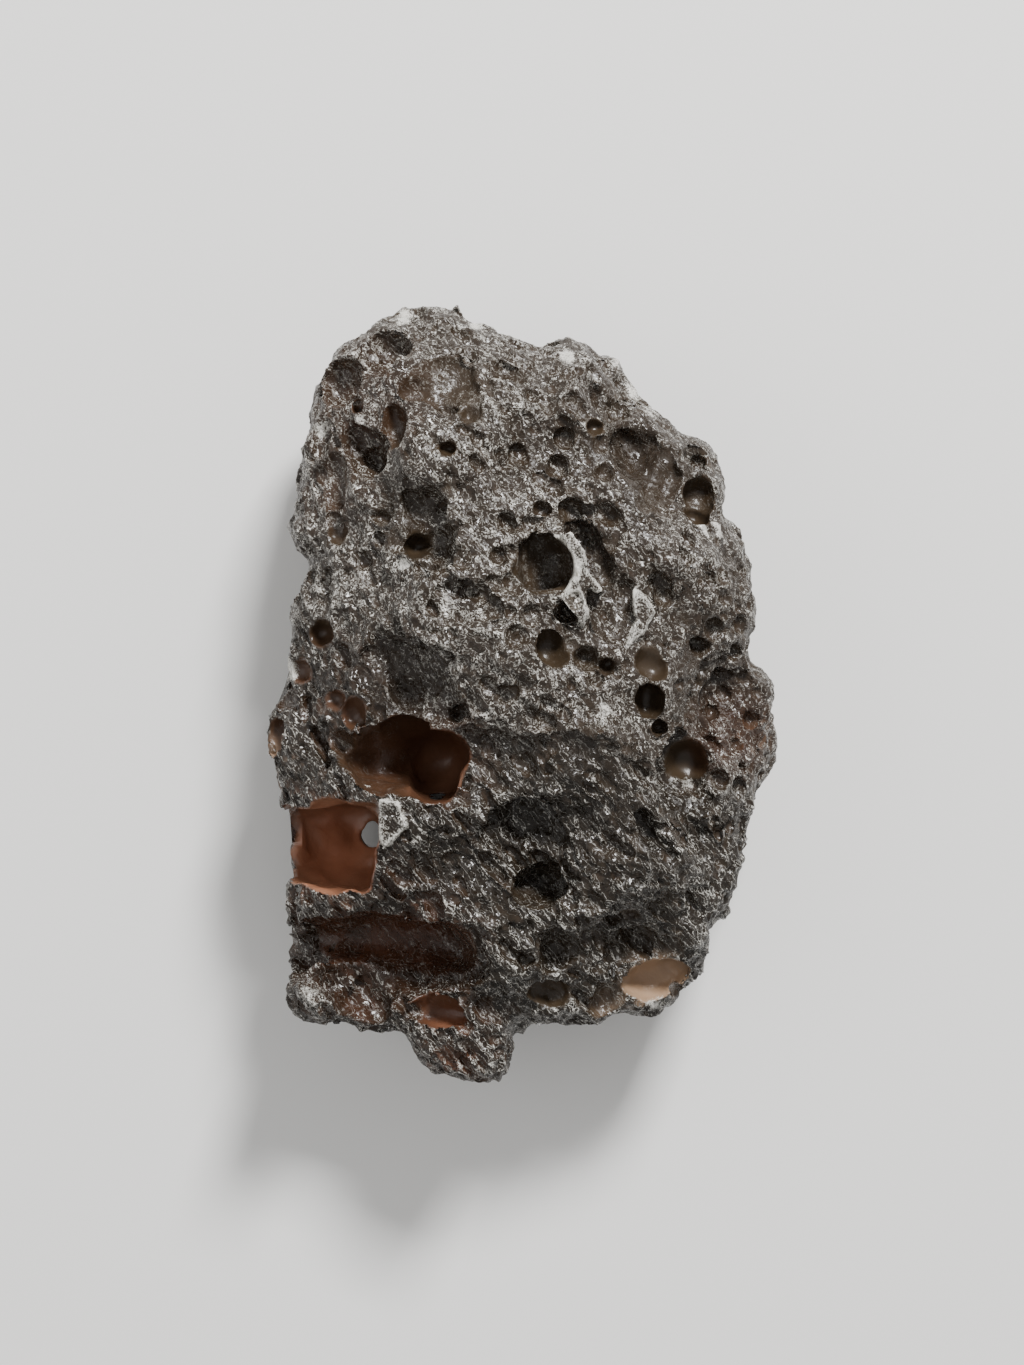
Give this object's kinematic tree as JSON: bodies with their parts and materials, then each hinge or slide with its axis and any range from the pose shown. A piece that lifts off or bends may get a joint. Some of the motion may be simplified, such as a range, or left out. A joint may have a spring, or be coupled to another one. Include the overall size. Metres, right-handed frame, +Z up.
{
  "type": "tektite",
  "caption": "Irregular lump of dark natural glass, drawn out and riddled with burst bubbles, lying on its back; a mineral specimen to show or hold.",
  "frame": {"origin": "middle of the footprint's bounding box, on the surface that the stone lies on", "axes": "+Z up, out of the face that is seen when the stone lies on its back; +Y along the stone, towards its narrower, peaked end; +X across it, to the right when it is looked down on with the peak away from the viewer"},
  "size_m": [0.0263, 0.04, 0.0173],
  "materials": {
    "smoky_glass": "natural glass, nearly black, frosted outside and glossy in the burst bubbles, smoky brown where it is thin"
  },
  "bodies": {
    "root": {"tektite": "smoky_glass"}
  },
  "joints": []
}
